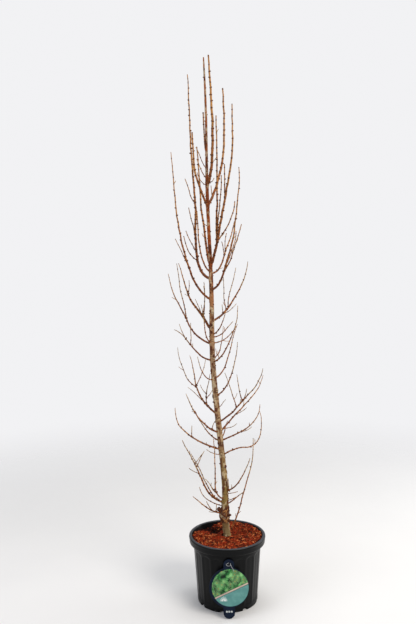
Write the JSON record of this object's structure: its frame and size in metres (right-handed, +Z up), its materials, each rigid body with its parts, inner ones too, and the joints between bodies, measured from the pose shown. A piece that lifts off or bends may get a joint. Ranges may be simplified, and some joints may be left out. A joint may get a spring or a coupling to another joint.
{
  "type": "young japanese larch in a nursery pot",
  "caption": "Tall slender young larch in winter: bare upswept red-brown shoots on a leaning trunk, bark mulch, black fluted nursery pot and a hanging plant label.",
  "frame": {"origin": "centre of the pot's flat underside", "axes": "+Z up the trunk, the label faces -Y, +X to its right"},
  "size_m": [0.3697, 0.3235, 2.066],
  "materials": {
    "trunk_bark": "matte",
    "bough_bark": "matte",
    "twig_bark": "matte",
    "pot_plastic": "satin",
    "bark_mulch": "matte",
    "label_card": "satin",
    "pin_plastic": "satin"
  },
  "bodies": {
    "root": {"bough_left_08": "bough_bark", "bough_left_09": "bough_bark", "bough_left_11": "bough_bark", "bough_left_12": "bough_bark", "bough_left_14": "bough_bark", "bough_left_15": "bough_bark", "bough_left_16": "bough_bark", "bough_right_07": "bough_bark", "bough_right_08": "bough_bark", "bough_right_17": "bough_bark", "bough_right_18": "bough_bark", "bough_right_20": "bough_bark", "label": "label_card", "label_pin": "pin_plastic", "pot": "pot_plastic", "root_ball": "bark_mulch", "trunk": "trunk_bark", "twigs_base_whip": "twig_bark", "twigs_left_01": "twig_bark", "twigs_left_02": "twig_bark", "twigs_left_03": "twig_bark", "twigs_left_04": "twig_bark", "twigs_left_06": "twig_bark", "twigs_left_07": "twig_bark", "twigs_left_08": "twig_bark", "twigs_left_09": "twig_bark", "twigs_left_10": "twig_bark", "twigs_left_11": "twig_bark", "twigs_left_12": "twig_bark", "twigs_left_13": "twig_bark", "twigs_left_14": "twig_bark", "twigs_left_15": "twig_bark", "twigs_left_16": "twig_bark", "twigs_left_17": "twig_bark", "twigs_left_18": "twig_bark", "twigs_left_19": "twig_bark", "twigs_left_22": "twig_bark", "twigs_left_25": "twig_bark", "twigs_right_02": "twig_bark", "twigs_right_03": "twig_bark", "twigs_right_04": "twig_bark", "twigs_right_05": "twig_bark", "twigs_right_06": "twig_bark", "twigs_right_07": "twig_bark", "twigs_right_08": "twig_bark", "twigs_right_10": "twig_bark", "twigs_right_11": "twig_bark", "twigs_right_12": "twig_bark", "twigs_right_13": "twig_bark", "twigs_right_14": "twig_bark", "twigs_right_15": "twig_bark", "twigs_right_16": "twig_bark", "twigs_right_17": "twig_bark", "twigs_right_18": "twig_bark", "twigs_right_19": "twig_bark", "twigs_right_20": "twig_bark", "twigs_right_21": "twig_bark", "twigs_right_22": "twig_bark"}
  },
  "joints": []
}
